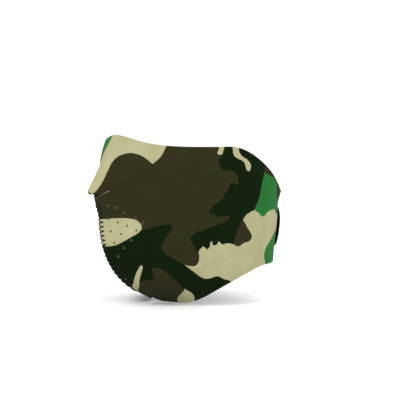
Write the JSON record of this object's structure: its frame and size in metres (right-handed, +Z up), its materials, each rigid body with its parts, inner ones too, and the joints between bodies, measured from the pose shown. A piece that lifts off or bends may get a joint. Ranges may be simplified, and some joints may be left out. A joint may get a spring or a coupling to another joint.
{
  "type": "camo face mask",
  "caption": "Contoured neoprene half face mask in woodland camouflage, with a chin seam, vent holes and two neck wings that close with a hook tab.",
  "frame": {"origin": "middle of the head that wears it: on the centre plane, level with the upper lip and in the vertical plane of the ear line where the wings fold", "axes": "+X towards the wearer's left, -Y the way the face looks, +Z up along the head"},
  "size_m": [0.142, 0.1671, 0.1314],
  "materials": {
    "camo_fabric": "printed knitted jersey, matte",
    "foam": "closed-cell neoprene foam, matte cut edge",
    "lining_fabric": "black knitted jersey, matte",
    "thread": "black polyester thread",
    "webbing": "black woven nylon",
    "loop_pile": "black napped loops",
    "hooks": "black nylon hooks"
  },
  "bodies": {
    "front": {"face_fabric": "camo_fabric", "foam_core": "foam", "lining": "lining_fabric", "seam_needle_thread": "thread", "seam_bobbin_thread": "thread"},
    "left_wing": {"left_face_fabric": "camo_fabric", "left_foam_core": "foam", "left_lining": "lining_fabric", "loop_backing": "webbing", "loop_pile": "loop_pile", "loop_stitch": "thread"},
    "right_wing": {"right_face_fabric": "camo_fabric", "right_foam_core": "foam", "right_lining": "lining_fabric", "tab_base": "webbing", "tab_base_stitch": "thread"},
    "closure_tab": {"tab_flap": "webbing", "hook_tape": "hooks", "hook_stitch": "thread"}
  },
  "joints": [
    {"name": "right_wing_swing", "type": "hinge", "parent": "front", "child": "right_wing", "pos_m": [-0.0715, 0, 0], "axis": [0, 0, 1], "range_deg": [0, 80]},
    {"name": "left_wing_swing", "type": "hinge", "parent": "front", "child": "left_wing", "pos_m": [0.0715, 0, 0], "axis": [0, 0, 1], "range_deg": [-80, 0]},
    {"name": "tab_peel", "type": "hinge", "parent": "right_wing", "child": "closure_tab", "pos_m": [0.0056, 0.0553, -0.008], "axis": [0, 0.03, 0.9995], "range_deg": [0, 120]}
  ],
  "couplings": [
    {"joint": "left_wing_swing", "follows": "right_wing_swing", "ratio": -1}
  ]
}
